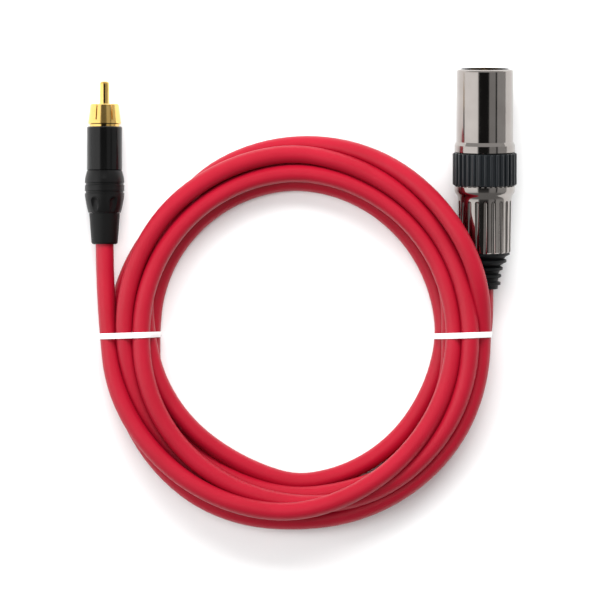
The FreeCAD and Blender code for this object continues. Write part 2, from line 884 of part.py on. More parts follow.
# room for the XLR plug's rear shell and boot over their whole travel, measured from their last place
room_back = "shell_travel + coil_gap"
room = turned(
    "plug_room",
    [
        ("0", "0"),
        ("rib_radius_b + coil_gap", "0"),
        ("rib_radius_c + coil_gap", "rib_first + 2 * rib_pitch - rib_half"),
        ("rib_radius_e + coil_gap", "rib_first + 4 * rib_pitch - rib_half"),
        ("shell_waist_radius + coil_gap", shell_rear),
        ("shell_waist_radius + coil_gap", f"{neck_rear} + {room_back}"),
        ("0", f"{neck_rear} + {room_back}"),
    ],
    on_plug(xlr_place, 0, 0, -val(room_back)),
)
tail_room_back = "rca_travel + coil_gap"
tail_room = turned(
    "tail_room",
    [
        ("0", "0"),
        ("tail_end_radius + coil_gap", "0"),
        ("tail_front_radius + coil_gap", f"tail_length + {tail_room_back}"),
        ("0", f"tail_length + {tail_room_back}"),
    ],
    on_plug(rca_place, 0, 0, -val(tail_room_back)),
)
over = doc.addObject("Part::Box", "plug_room_above")
over.setExpression("Length", bound("2 * (shell_waist_radius + coil_gap)"))
over.setExpression("Width", bound("coil_height"))
over.setExpression("Height", bound("shell_length"))
over_across = -val("shell_waist_radius + coil_gap")
over.Placement = on_plug(
    xlr_place, over_across, -val("coil_height"), val(shell_rear) - val("shell_travel + coil_gap")
)


def band(name, grow, side):
    """A tie round the coil's section at one side: a rounded frame, its outside grown where asked."""
    middle = val("coil_outer + coil_inner") / 2
    corner_x = centre.x + side * middle - val("coil_outer - coil_inner") / 2 - grow
    tie_y = centre.y - val("tie_offset")
    body = new_body(name, Placement(Vector(corner_x, tie_y, -grow), Rotation()))
    wide = f"coil_outer - coil_inner + {2 * grow}"
    high = f"coil_height + {2 * grow}"
    step = f"tie_thickness + {grow}"
    outside = new_sketch(body, name + "_outside")
    polygon(outside, [("0", "0"), (wide, "0"), (wide, high), ("0", high)])
    pad = body.newObject("PartDesign::Pad", name + "_pad")
    pad.Profile = outside
    pad.Midplane = True
    pad.Length = val("tie_width")
    pad.setExpression("Length", bound("tie_width"))
    inside = new_sketch(body, name + "_inside")
    right = f"coil_outer - coil_inner - tie_thickness + {grow}"
    top = f"coil_height - tie_thickness + {grow}"
    polygon(inside, [(step, step), (right, step), (right, top), (step, top)])
    hole = body.newObject("PartDesign::Pocket", name + "_hole")
    hole.Profile = inside
    hole.Type = 1
    hole.Midplane = True
    doc.recompute()
    soften(body, "coil_corner - tie_thickness", False)
    soften(body, "coil_corner", True)
    return body


def soften(body, radius, outermost):
    """Round the four edges along Y at the frame's outer corners, or at its inner ones."""
    base = body.Tip
    box = base.Shape.BoundBox
    names = []
    for number, edge in enumerate(base.Shape.Edges, start=1):
        if edge.BoundBox.YLength < box.YLength / 2 or edge.Curve.TypeId != "Part::GeomLine":
            continue
        side = min(edge.BoundBox.XMin - box.XMin, box.XMax - edge.BoundBox.XMin)
        level = min(edge.BoundBox.ZMin - box.ZMin, box.ZMax - edge.BoundBox.ZMin)
        at_outer_corner = side < 0.001 and level < 0.001
        at_inner_corner = abs(side - level) < 0.001 and not at_outer_corner
        if at_outer_corner if outermost else at_inner_corner:
            names.append(f"Edge{number}")
    fillet = body.newObject("PartDesign::Fillet", f"{body.Name}_round_{len(body.Group)}")
    fillet.Base = (base, names)
    fillet.Radius = val(radius)
    fillet.setExpression("Radius", bound(radius))
    body.Tip = fillet
    doc.recompute()


band("tie_left", 0, -1)
band("tie_right", 0, 1)
waists = [band("waist_left", 1, -1), band("waist_right", 1, 1)]

# the outermost turn climbs over the plug's rear shell and comes down on its other side:
# angle round the coil in degrees, radius and height
CLIMB = [
    (3.0, 62.4, 14.9),
    (14.0, 62.9, 17.8),
    (25.0, 63.9, 20.9),
    (36.0, 63.9, 19.0),
    (47.0, 63.0, 14.9),
]
climb_path = []
for angle, radius, height in CLIMB:
    turn = math.radians(angle)
    spot = Vector(radius * math.cos(turn), radius * math.sin(turn), height)
    climb_path.append(centre + spot)
climb = cord("climbing_turn", climb_path, val("cable_radius"))

hollows = doc.addObject("Part::MultiFuse", "coil_hollows")
hollows.Shapes = [room, over, tail_room, *waists]
hollowed = doc.addObject("Part::Cut", "coil_hollowed")
hollowed.Base = coil_ring
hollowed.Tool = hollows
grooved = doc.addObject("Part::Cut", "coil_grooved")
grooved.Base = hollowed
leads = doc.addObject("Part::MultiFuse", "coil_leads")
leads.Shapes = [rca_lead, xlr_lead]
grooved.Tool = leads
coil = doc.addObject("Part::Fuse", "cable_coil")
coil.Base = grooved
coil.Tool = climb
doc.recompute()

# ---- checks and files ------------------------------------------------------------------------------

NODES = [
    "xlr_front_shell",
    "xlr_pin_insert",
    "xlr_pin_1",
    "xlr_pin_2",
    "xlr_pin_3",
    "xlr_ground_spring",
    "xlr_ring_clip",
    "xlr_coupling_ring",
    "xlr_rear_shell",
    "xlr_boot",
    "xlr_cable_chuck",
    "xlr_core_hot",
    "xlr_core_cold",
    "xlr_drain_wire",
    "rca_center_pin",
    "rca_insulator",
    "rca_outer_contact",
    "rca_cable_clamp",
    "rca_barrel",
    "rca_grip_sleeve",
    "rca_tail_sleeve",
    "rca_core_hot",
    "rca_drain_wire",
    "cable_coil",
    "cable_lead_rca",
    "cable_lead_xlr",
    "tie_left",
    "tie_right",
]

for item in doc.Objects:
    if "Invalid" in item.State or "Error" in item.State:
        raise RuntimeError(f"{item.Name} is in state {item.State}")
for name in NODES:
    shape = doc.getObject(name).Shape
    if shape.isNull() or not shape.isValid() or len(shape.Solids) != 1:
        raise RuntimeError(f"{name} is not one valid solid")

os.makedirs("parts", exist_ok=True)
for name in NODES:
    node = doc.getObject(name)
    node.Label = name
    node.Shape.exportStep(f"parts/{name}.step")
    box = node.Shape.BoundBox
    print(f"{name:20s} {node.Shape.Volume:9.1f} mm3  x {box.XMin:7.2f} {box.XMax:7.2f}", end="")
    print(f"  y {box.YMin:7.2f} {box.YMax:7.2f}  z {box.ZMin:6.2f} {box.ZMax:6.2f}")
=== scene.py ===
import json
import math

import bmesh
import bpy
import numpy as np
from mathutils import Matrix, Vector


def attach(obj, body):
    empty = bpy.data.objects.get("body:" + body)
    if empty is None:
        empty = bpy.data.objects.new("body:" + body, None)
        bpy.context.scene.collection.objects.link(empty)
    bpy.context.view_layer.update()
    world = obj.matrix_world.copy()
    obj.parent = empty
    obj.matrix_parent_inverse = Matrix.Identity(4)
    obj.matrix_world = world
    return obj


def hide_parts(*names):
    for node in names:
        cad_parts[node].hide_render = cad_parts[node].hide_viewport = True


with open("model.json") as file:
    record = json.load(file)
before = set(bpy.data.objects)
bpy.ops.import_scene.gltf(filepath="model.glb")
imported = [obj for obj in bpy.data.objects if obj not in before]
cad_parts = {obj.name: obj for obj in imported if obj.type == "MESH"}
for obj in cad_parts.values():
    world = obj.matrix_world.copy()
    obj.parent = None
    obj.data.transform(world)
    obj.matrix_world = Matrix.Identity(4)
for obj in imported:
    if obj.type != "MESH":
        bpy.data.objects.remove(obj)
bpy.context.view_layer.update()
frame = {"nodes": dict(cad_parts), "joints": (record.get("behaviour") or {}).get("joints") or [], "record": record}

mm = 0.001
sharpFrom = 35  # degrees between two faces, past which their edge stays sharp
nodes = frame["nodes"]
scene = bpy.context.scene
scene.view_settings.view_transform = "Standard"


class Value:  # a node's socket that adds its Math nodes when it is used in an expression
    def __init__(self, tree, socket):
        self.tree, self.socket = tree, socket

    def maths(self, operation, *inputs):
        return self.tree.add("ShaderNodeMath", {"operation": operation}, dict(enumerate(inputs)))

    def __add__(self, other):
        return self.maths("ADD", self, other)

    def __sub__(self, other):
        return self.maths("SUBTRACT", self, other)

    def __rsub__(self, other):
        return self.maths("SUBTRACT", other, self)

    def __mul__(self, other):
        return self.maths("MULTIPLY", self, other)

    def __truediv__(self, other):
        return self.maths("DIVIDE", self, other)

    def __gt__(self, other):
        return self.maths("GREATER_THAN", self, other)

    __radd__ = __add__
    __rmul__ = __mul__


class Tree:  # a node tree; add() takes a node's type, its settings, and its inputs' values or links
    def __init__(self, tree):
        self.tree = tree

    def add(self, kind, settings=None, inputs=None, output=0):
        node = self.tree.nodes.new(kind)
        for key, value in (settings or {}).items():
            if key == "stops":
                ramp = node.color_ramp
                while len(ramp.elements) < len(value):
                    ramp.elements.new(1.0)
                for element, (place, colour) in zip(ramp.elements, value):
                    element.position = place
                    element.color = colour
            else:
                setattr(node, key, value)
        for key, value in (inputs or {}).items():
            socket = node.inputs[key]
            if isinstance(value, Value):
                self.tree.links.new(value.socket, socket)
            else:
                socket.default_value = value
        return Value(self, node.outputs[output])

    def join(self, x, y, z):
        return self.add("ShaderNodeCombineXYZ", None, {"X": x, "Y": y, "Z": z})

    def split(self, vector, axis):
        return self.add("ShaderNodeSeparateXYZ", None, {"Vector": vector}, output=axis)


class Shader(Tree):  # one material, finished by surface()
    def __init__(self, name):
        self.material = bpy.data.materials.new(name)
        self.material.use_nodes = True
        super().__init__(self.material.node_tree)
        self.tree.nodes.clear()

    def noise(self, scale, detail=3.0, stretch=None):
        where = self.add("ShaderNodeTexCoord", output="Object")
        if stretch:
            where = self.add("ShaderNodeMapping", None, {"Vector": where, "Scale": stretch})
        return self.add("ShaderNodeTexNoise", None, {"Vector": where, "Scale": scale, "Detail": detail})

    def mix(self, factor, first, second):
        inputs = {0: factor, 6: first, 7: second}
        return self.add("ShaderNodeMix", {"data_type": "RGBA"}, inputs, output=2)

    def surface(self, bumps=(), **sockets):
        inputs = {key.replace("_", " "): value for key, value in sockets.items()}
        for height, strength, distance in bumps:
            bump = {"Height": height, "Strength": strength, "Distance": distance}
            if "Normal" in inputs:
                bump["Normal"] = inputs["Normal"]
            inputs["Normal"] = self.add("ShaderNodeBump", None, bump)
        shader = self.add("ShaderNodeBsdfPrincipled", None, inputs)
        out = self.tree.nodes.new("ShaderNodeOutputMaterial")
        self.tree.links.new(shader.socket, out.inputs["Surface"])
        return self.material


class Shape(Tree):
    def __init__(self, name, sizes):
        super().__init__(bpy.data.node_groups.new(name, "GeometryNodeTree"))
        sockets = {"Geometry": "Geometry", **sizes, "Material": "Material"}
        for label, kind in sockets.items():
            self.tree.interface.new_socket(label, in_out="INPUT", socket_type="NodeSocket" + kind)
        self.tree.interface.new_socket("Geometry", in_out="OUTPUT", socket_type="NodeSocketGeometry")
        self.start = self.tree.nodes.new("NodeGroupInput")

    def given(self, label):
        return Value(self, self.start.outputs[label])

    def finish(self, geometry):
        real = self.add("GeometryNodeRealizeInstances", None, {"Geometry": geometry})
        paint = {"Geometry": real, "Material": self.given("Material")}
        painted = self.add("GeometryNodeSetMaterial", None, paint)
        out = self.tree.nodes.new("NodeGroupOutput")
        self.tree.links.new(painted.socket, out.inputs["Geometry"])
        return self.tree


def grown(mesh, tree, sizes):  # runs a Geometry Nodes tree on a mesh and gives back a plain mesh
    holder = bpy.data.objects.new("holder", mesh)
    scene.collection.objects.link(holder)
    modifier = holder.modifiers.new("grow", "NODES")
    modifier.node_group = tree
    for item in tree.interface.items_tree:
        if item.in_out == "INPUT" and item.name in sizes:
            modifier[item.identifier] = sizes[item.name]
    graph = bpy.context.evaluated_depsgraph_get()
    made = bpy.data.meshes.new_from_object(holder.evaluated_get(graph), depsgraph=graph)
    holder.modifiers.remove(modifier)
    bpy.data.objects.remove(holder)
    return made


def finished(name, mesh, place, body, slot, *replaced):  # a mesh becomes a piece of the object
    mesh.name = name
    mesh.transform(place)
    mesh.materials.clear()
    mesh.materials.append(finishes[slot])
    mesh.polygons.foreach_set("material_index", [0] * len(mesh.polygons))
    mesh.shade_smooth()
    mesh.set_sharp_from_angle(angle=math.radians(sharpFrom))
    piece = bpy.data.objects.new(name, mesh)
    scene.collection.objects.link(piece)
    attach(piece, body)
    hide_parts(*replaced)
    return piece


def loft(name, points, rings, around):  # closed both ways: rings of points, each joined to the next
    mesh = bpy.data.meshes.new(name)
    faces = []
    for ring in range(rings):
        here, there = ring * around, (ring + 1) % rings * around
        for step in range(around):
            ahead = (step + 1) % around
            faces.append((here + step, here + ahead, there + ahead, there + step))
    mesh.from_pydata(points, [], faces)
    solid = bmesh.new()
    solid.from_mesh(mesh)
    bmesh.ops.remove_doubles(solid, verts=solid.verts, dist=0.001 * mm)
    bmesh.ops.recalc_face_normals(solid, faces=solid.faces)
    solid.to_mesh(mesh)
    solid.free()
    return mesh


# the camera looks straight down from far above
cameraPlan = {
    "height": 2.2,  # m
    "lens": 393.8,  # mm
    "sensor": 36.0,
    "aim": (-0.0002, -0.0404),
}

camera = bpy.data.objects.new("camera", bpy.data.cameras.new("camera"))
camera.data.lens = cameraPlan["lens"]
camera.data.sensor_width = cameraPlan["sensor"]
camera.location = (*cameraPlan["aim"], cameraPlan["height"])
scene.collection.objects.link(camera)
scene.camera = camera

jacket = {
    "dark": (0.30, 0.0030, 0.014, 1),
    "light": (0.39, 0.0060, 0.024, 1),
    "cloudScale": 60,
    "grainScale": 1400,
    "grainDepth": 0.05,  # mm
    "grainStrength": 0.15,
    "roughness": 0.36,
    "cloudRoughness": 0.10,  # added where it is cloudy
    "grainRoughness": 0.08,
    "shine": 0.3,
}


def jacketRed():  # satin PVC, a little cloudy, with a fine extruded grain
    s = Shader("jacketRed")
    grain = s.noise(jacket["grainScale"], 4)
    cloud = s.noise(jacket["cloudScale"], 2)
    colour = s.mix(cloud, jacket["dark"], jacket["light"])
    rough = jacket["roughness"] + jacket["cloudRoughness"] * cloud + jacket["grainRoughness"] * grain
    bumps = [(grain, jacket["grainStrength"], jacket["grainDepth"] * mm)]
    return s.surface(bumps, Base_Color=colour, Roughness=rough, Specular_IOR_Level=jacket["shine"])


plating = {
    "smudgeScale": 140,
    "smudgeRoughness": 0.06,
    "lineStretch": (1.0, 0.04, 1.0),  # drawn lines run along the plugs
    "lineRoughness": 0.04,
    "lineStrength": 0.05,
    "lineDepth": 0.02,  # mm
}

plastic = {
    "patchScale": 110,
    "patchRoughness": 0.10,
    "grainRoughness": 0.06,
    "grainStrength": 0.25,
}


def metal(name, dark, light, roughness, lineScale=700):  # plating with drawn lines and faint smudges
    s = Shader(name)
    lines = s.noise(lineScale, 2, stretch=plating["lineStretch"])
    smudge = s.noise(plating["smudgeScale"], 3)
    rough = roughness + plating["smudgeRoughness"] * smudge + plating["lineRoughness"] * lines
    bumps = [(lines, plating["lineStrength"], plating["lineDepth"] * mm)]
    return s.surface(bumps, Base_Color=s.mix(smudge, dark, light), Roughness=rough, Metallic=1.0)


def moulded(name, dark, light, roughness, grainScale=1500, grainDepth=0.03, shine=0.2):  # depth in mm
    s = Shader(name)
    grain = s.noise(grainScale, 3)
    patch = s.noise(plastic["patchScale"], 3)
    rough = roughness + plastic["patchRoughness"] * patch + plastic["grainRoughness"] * grain
    bumps = [(grain, plastic["grainStrength"], grainDepth * mm)]
    colour = s.mix(patch, dark, light)
    return s.surface(bumps, Base_Color=colour, Roughness=rough, Specular_IOR_Level=shine)


def grey(level, blue=0.0):
    return (level, level * (1 + blue / 2), level * (1 + blue), 1)


finishes = {
    "black_nickel": metal("blackNickel", (0.27, 0.245, 0.23, 1), (0.36, 0.335, 0.315, 1), 0.06),
    "ring_black": moulded("ringBlack", grey(0.005, 0.5), grey(0.010, 0.5), 0.26, shine=0.45),
    "boot_rubber": moulded("bootRubber", grey(0.003, 0.2), grey(0.006, 0.2), 0.42, 1100, 0.06),
    "barrel_gloss_black": moulded(
        "glossBlack", grey(0.002), grey(0.004), 0.10, grainDepth=0.004, shine=0.25
    ),
    "grip_black": moulded("gripBlack", grey(0.002), grey(0.005), 0.30, shine=0.25),
    "tail_black": moulded("tailBlack", grey(0.003), grey(0.006), 0.42, 1300, 0.05),
    "gold": metal("gold", (0.74, 0.46, 0.12, 1), (0.90, 0.62, 0.22, 1), 0.12, 900),
    "insert_black": moulded("insertBlack", grey(0.008), grey(0.014), 0.45),
    "spring_metal": metal("springMetal", grey(0.45), grey(0.60), 0.22),
    "chuck_plastic": moulded("chuckPlastic", grey(0.03), grey(0.05), 0.45),
    "core_red": moulded(
        "coreRed", (0.42, 0.012, 0.010, 1), (0.55, 0.02, 0.015, 1), 0.38, shine=0.4
    ),
    "core_white": moulded("coreWhite", grey(0.70), grey(0.80), 0.40, shine=0.4),
    "copper": metal("copper", (0.72, 0.30, 0.16, 1), (0.86, 0.42, 0.25, 1), 0.24),
    "tie_white": moulded("tieWhite", grey(0.86), grey(0.92), 0.42, 900, 0.02, shine=0.4),
    "jacket_red": jacketRed(),
}

slots = {part["node"]: part["material_slot"] for part in frame["record"]["subparts"]}
for name, node in nodes.items():
    node.data.materials.clear()
    node.data.materials.append(finishes[slots[name]])
print("finishes on", len(nodes), "pieces")


tailBehind = {  # mm from a plug's turning joint back to where the cable goes in
    "xlr": 40.0,
    "rca": 25.0,
}

joints = {joint["name"]: joint for joint in frame["joints"]}
xlrAxis = Vector(joints["xlr_ring_turn"]["axis"])
xlrTail = Vector(joints["xlr_ring_turn"]["pos_m"]) - tailBehind["xlr"] * mm * xlrAxis
rcaAxis = -Vector(joints["rca_barrel_turn"]["axis"])
rcaTail = Vector(joints["rca_barrel_turn"]["pos_m"]) - tailBehind["rca"] * mm * rcaAxis

tie = {  # lengths in mm
    "width": 1.9,
    "thickness": 0.4,
    "y": -52.2,
    "slant": 0.033,  # forward per mm across
    "sides": {  # which way each lies, and how far from the middle its twisted ends are
        "left": (-1, 54.4),
        "right": (1, 56.5),
    },
    "section": [  # rounded, in shares of its thickness and of half its width
        (0, -0.85), (0.2, -1), (0.7, -1), (1, -0.7), (1, 0.7), (0.7, 1), (0.2, 1), (0, 0.85),
    ],
    "steps": 72,  # round the strands
    "liftReach": 9,  # how far along the cable a strand is lifted by a tie under it
    "twistRadius": 0.44,
    "twistTurns": 4.0,
    "twistLength": 11.0,
    "twistHeight": 2.1,  # of the middle of the twist, in radii above the band
    "twistFineness": 12,
    "wireSides": 8,
}

cable = {
    "diameter": 6.0,  # mm
    "length": 2.0,  # m, from plug to plug
    "pointsPerTurn": 24,
    "touch": 5.9,  # mm, the least distance between two strands' middles
    "plugGap": 1.1,  # mm, kept over the XLR plug
    "rounds": 400,  # of settling
    "lateRounds": 0.75,  # the share of them after which it settles less
    "soft": (0.35, 0.1),  # how much a strand straightens in each round, before and after that
    "holdRadius": 0.5,  # how strongly a lane holds its strand
    "holdHeight": 0.25,
    "rcaInside": (21.7, 10.0, 0.0),  # mm from the plug's end, inwards
    "rcaLead": [(-65.3, -32.0, 7.0), (-64.8, -42.0, 8.2)],
    "xlrInside": (-8.0, 0.0, 10.0, 21.0, 33.2),
    "bevelSteps": 6,
    "curveSteps": 5,
}

# Where the cable passes each quarter of the coil, as (radius, height) in mm about the coil's middle:
# from the RCA plug it goes left, bottom, right and top, and so on until it meets the XLR plug.
lanes = [
    (62.4, 9.0), (60.0, 16.5), (53.6, 14.5), (53.7, 8.4),
    (51.6, 14.4), (57.3, 11.5), (58.7, 17.4), (60.2, 8.4),
    (57.3, 12.8), (59.5, 3.0), (51.7, 8.8), (57.0, 3.0),
    (60.6, 3.0), (63.2, 7.5), (62.3, 12.4), (63.2, 3.0),
    (49.8, 8.8), (51.0, 3.0), (50.2, 3.0), (50.8, 3.0),
    (48.2, 3.0), (55.2, 7.0), (62.8, 6.2),
]

coilMiddle = Vector((-1.75, -51.2, 0.0))

xlrOutline = {  # the rear of the XLR plug, in mm, from its lead to its rear shell
    "y": [-42.5, -41.6, -38.0, -33.0, -30.4, -29.7],
    "radius": [3.0, 5.6, 6.4, 8.0, 8.6, 9.3],
    "from": -50,  # strands pass over the plug between these two
    "to": 0,
}


def overPlug(x, y):  # how high a strand's middle has to be to clear the XLR plug, its lead included
    reach = np.interp(y, xlrOutline["y"], xlrOutline["radius"])
    reach = reach + cable["diameter"] / 2 + cable["plugGap"]
    across = np.abs(x - xlrTail.x / mm)
    axis = xlrTail.z / mm + (y - xlrTail.y / mm) * xlrAxis.z / xlrAxis.y
    top = axis + np.sqrt(np.clip(reach**2 - across**2, 0, None))
    beside = (across < reach) & (y < xlrOutline["to"]) & (y > xlrOutline["from"])
    return np.where(beside, top, 0)


def windCoil():  # turns of cable that lie on the table and on each other, through the lanes
    perTurn = cable["pointsPerTurn"]
    perLane = perTurn // 4
    lane = np.array(lanes)
    stations = np.arange(len(lane)) * perLane
    count = stations[-1] + 1
    share = np.arange(count) / perLane
    index = np.minimum(share.astype(int), len(lane) - 2)
    ease = ((1 - np.cos(math.pi * (share - index))) / 2)[:, None]
    strand = lane[index] * (1 - ease) + lane[index + 1] * ease
    angle = math.pi + np.arange(count) * 2 * math.pi / perTurn
    hold = np.array([cable["holdRadius"], cable["holdHeight"]])
    floorHeight = cable["diameter"] / 2
    wholeTurns = count // perTurn
    early, late = cable["soft"]
    for step in range(cable["rounds"]):
        soft = early if step < cable["lateRounds"] * cable["rounds"] else late
        strand[1:-1] += soft * ((strand[:-2] + strand[2:]) / 2 - strand[1:-1])
        strand[stations] += hold * (lane - strand[stations])
        for turns in range(1, wholeTurns + 1):
            under, over = strand[: -turns * perTurn], strand[turns * perTurn :]
            apart = over - under
            distance = np.linalg.norm(apart, axis=1) + 1e-9
            push = apart * (np.clip(cable["touch"] - distance, 0, None) / distance / 2)[:, None]
            strand[: -turns * perTurn] -= push
            strand[turns * perTurn :] += push
        x = coilMiddle.x + strand[:, 0] * np.cos(angle)
        y = coilMiddle.y + strand[:, 0] * np.sin(angle)
        clear = np.maximum(floorHeight, overPlug(x, y))
        clear[-2:] = floorHeight  # the last stretch is the XLR plug's own lead
        underTie = ((y - tie["y"]) / tie["liftReach"]) ** 2
        clear += tie["thickness"] * np.exp(-underTie)  # the ties pass underneath
        strand[:, 1] = np.maximum(strand[:, 1], clear)
        strand[0], strand[-1] = lane[0], lane[-1]
    return [Vector(point) * mm for point in zip(x, y, strand[:, 1])]


def makeCable():
    rcaLead = [rcaTail + rcaAxis * along * mm for along in cable["rcaInside"]]
    rcaLead += [Vector(point) * mm for point in cable["rcaLead"]]
    xlrLead = [xlrTail + xlrAxis * along * mm for along in cable["xlrInside"]]
    points = rcaLead + windCoil() + xlrLead
    curve = bpy.data.curves.new("cable", "CURVE")
    curve.dimensions = "3D"
    curve.bevel_depth = cable["diameter"] / 2 * mm
    curve.bevel_resolution = cable["bevelSteps"]
    curve.resolution_u = cable["curveSteps"]
    curve.use_fill_caps = True
    spline = curve.splines.new("NURBS")
    spline.points.add(len(points) - 1)
    for place, point in zip(spline.points, points):
        place.co = (*point, 1)
    spline.order_u = 3
    spline.use_endpoint_u = True
    cord = bpy.data.objects.new("cable", curve)
    scene.collection.objects.link(cord)
    return cord


cord = makeCable()
cord.data.materials.append(finishes["jacket_red"])
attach(cord, "root")
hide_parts("cable_coil", "cable_lead_rca", "cable_lead_xlr")
print("cable wound")


def crossings(side):  # where the strands pass through a tie, as (x, z) in mm
    line = cord.data.copy()
    line.bevel_depth = 0
    path = bpy.data.meshes.new_from_object(bpy.data.objects.new("line", line))
    points = [point.co / mm for point in path.vertices]
    found = []
    for here, there in zip(points, points[1:]):
        if (here.y - tie["y"]) * (there.y - tie["y"]) < 0 and here.x * side > 0:
            spot = here.lerp(there, (tie["y"] - here.y) / (there.y - here.y))
            found.append((spot.x, spot.z))
    return found


def bandMesh(name, spots):  # a flat band pulled tight round the strands
    steps, section = tie["steps"], tie["section"]
    half = tie["width"] / 2
    middle = sum(x for x, z in spots) / len(spots)
    rings = []
    for step in range(steps):
        turn = 2 * math.pi * step / steps
        out = (math.cos(turn), math.sin(turn))
        x, z = max(spots, key=lambda spot: spot[0] * out[0] + spot[1] * out[1])
        for deep, wide in section:
            reach = cable["diameter"] / 2 + tie["thickness"] * deep
            spot = (x + reach * out[0], tie["y"] + half * wide, max(z + reach * out[1], 0))
            forward = tie["slant"] * (spot[0] - middle)
            rings.append((spot[0] * mm, (spot[1] + forward) * mm, spot[2] * mm))
    return loft(name, rings, steps, len(section))


def twistTree():  # adds the tie's two ends, wound round each other
    kinds = {"Turns": "Float", "Length": "Float", "Radius": "Float", "Place": "Vector"}
    shape = Shape("twistedEnds", kinds)
    radius = shape.given("Radius")
    coil = {"Resolution": tie["twistFineness"], "Start Radius": radius, "End Radius": radius}
    coil.update({"Rotations": shape.given("Turns"), "Height": shape.given("Length")})
    spiral = shape.add("GeometryNodeCurveSpiral", None, coil)
    outline = {"Resolution": tie["wireSides"], "Radius": radius}
    circle = shape.add("GeometryNodeCurvePrimitiveCircle", None, outline)
    swept = {"Curve": spiral, "Profile Curve": circle, "Fill Caps": True}
    wire = shape.add("GeometryNodeCurveToMesh", None, swept)
    points = shape.add("GeometryNodePoints", None, {"Count": 2})
    turn = shape.join(0.0, 0.0, shape.add("GeometryNodeInputIndex") * math.pi)
    ends = {"Points": points, "Instance": wire, "Rotation": turn}
    pair = shape.add("GeometryNodeInstanceOnPoints", None, ends)
    along = {"Geometry": pair, "Translation": shape.given("Place"), "Rotation": (math.pi / 2, 0, 0)}
    laid = shape.add("GeometryNodeTransform", None, along)
    both = shape.add("GeometryNodeJoinGeometry", None, {"Geometry": laid})
    shape.tree.links.new(shape.given("Geometry").socket, both.socket.node.inputs["Geometry"])
    return shape.finish(both)


def makeTies():
    tree = twistTree()
    height = tie["thickness"] + tie["twistHeight"] * tie["twistRadius"]
    made = []
    for name, (side, distance) in tie["sides"].items():
        place = Vector((coilMiddle.x + side * distance, tie["y"], height)) * mm
        sizes = {"Turns": tie["twistTurns"], "Length": tie["twistLength"] * mm, "Place": place,
                 "Radius": tie["twistRadius"] * mm, "Material": finishes["tie_white"]}
        mesh = grown(bandMesh("band", crossings(side)), tree, sizes)
        made.append(finished(f"tieBand_{name}", mesh, Matrix(), "root", "tie_white", f"tie_{name}"))
    return made


ties = makeTies()
print("ties on", len(ties), "sides")


def plugPlace(tail, axis):  # from a plug's own lengths, its axis along Z, to where it lies
    across = Vector((1, 0, 0))
    turned = Matrix((across, axis.cross(across), axis)).transposed().to_4x4()
    return Matrix.Translation(tail) @ turned


def lathe(name, outline, sides=96):  # turns an outline of (radius, station) pairs about a plug's axis
    rings = []
    for radius, station in outline:
        for step in range(sides):
            turn = 2 * math.pi * step / sides
            rings.append((radius * math.cos(turn) * mm, radius * math.sin(turn) * mm, station * mm))
    return loft(name, rings, len(outline), sides)


barNose = {"Segments": 16, "Rings": 11}


def barsTree(operation):  # round-nosed bars in a circle, added to a turned piece or cut from it
    sizes = {"Count": "Int", "Circle": "Float", "Radius": "Float", "Start": "Float", "End": "Float"}
    shape = Shape("bars" + operation.title(), sizes)
    radius = shape.given("Radius")
    ball = shape.add("GeometryNodeMeshUVSphere", None, {**barNose, "Radius": radius})
    height = shape.split(shape.add("GeometryNodeInputPosition"), 2)
    rear = shape.given("Start") + radius
    front = shape.given("End") - radius
    shift = rear + (height > 0.0) * (front - rear)
    pulled = {"Geometry": ball, "Offset": shape.join(0.0, 0.0, shift)}
    bar = shape.add("GeometryNodeSetPosition", None, pulled)
    circle = {"Vertices": shape.given("Count"), "Radius": shape.given("Circle")}
    spots = shape.add("GeometryNodeMeshCircle", None, circle)
    bars = shape.add("GeometryNodeInstanceOnPoints", None, {"Points": spots, "Instance": bar})
    first = "Mesh 1" if operation == "DIFFERENCE" else "Mesh 2"
    exact = {"operation": operation, "solver": "EXACT"}  # the faster solver leaves edges open
    cut = shape.add("GeometryNodeMeshBoolean", exact, {"Mesh 2": bars})
    shape.tree.links.new(shape.given("Geometry").socket, cut.socket.node.inputs[first])
    return shape.finish(cut)


def barSizes(settings, material):
    scaled = {key: settings[key.lower()] * mm for key in ("Circle", "Radius", "Start", "End")}
    return {**scaled, "Count": settings["count"], "Material": material}


# radii and stations along the plug, in mm from its cable end
ring = {
    "ribs": {"count": 32, "circle": 10.13, "radius": 0.57, "start": 34.62, "end": 45.38},
    "core": [
        (9.15, 34.6), (9.75, 34.6), (9.9, 34.8), (9.9, 45.2),
        (9.75, 45.4), (7.65, 45.4), (7.65, 41.6), (9.15, 41.6),
    ],
}

shell = {
    "flutes": {"count": 20, "circle": 9.0, "radius": 0.8, "start": 5.0, "end": 29.7},
    "wall": [
        (4.95, 12.2), (8.45, 12.2), (8.75, 12.5), (8.95, 28.8), (8.98, 30.2), (9.08, 30.8),
        (9.3, 31.3), (9.7, 31.8), (9.98, 32.3), (10.1, 32.9), (10.1, 34.3), (9.95, 34.5),
        (9.1, 34.5), (9.1, 40.0), (8.25, 40.0), (8.25, 34.5), (7.3, 34.2), (7.3, 14.0), (4.95, 14.0),
    ],
}

grip = {
    "petals": {"count": 6, "circle": 7.45, "radius": 2.0, "start": 4.0, "end": 16.1},
    "smiles": {"count": 4, "circle": 11.6, "radius": 6.0, "start": 18.98, "end": 40.0},
    "sleeve": [
        (5.2, 10.5), (5.3, 10.5), (5.45, 10.65), (5.9, 12.0), (6.25, 13.5), (6.5, 15.0), (6.6, 16.5),
        (6.6, 16.95), (6.3, 17.15), (6.3, 17.65), (6.6, 17.85), (6.6, 19.65), (6.3, 19.85), (6.3, 20.35),
        (6.6, 20.55), (6.58, 21.5), (6.45, 22.6), (6.2, 23.7), (6.0, 24.5), (5.95, 24.6), (5.2, 24.6),
    ],
}


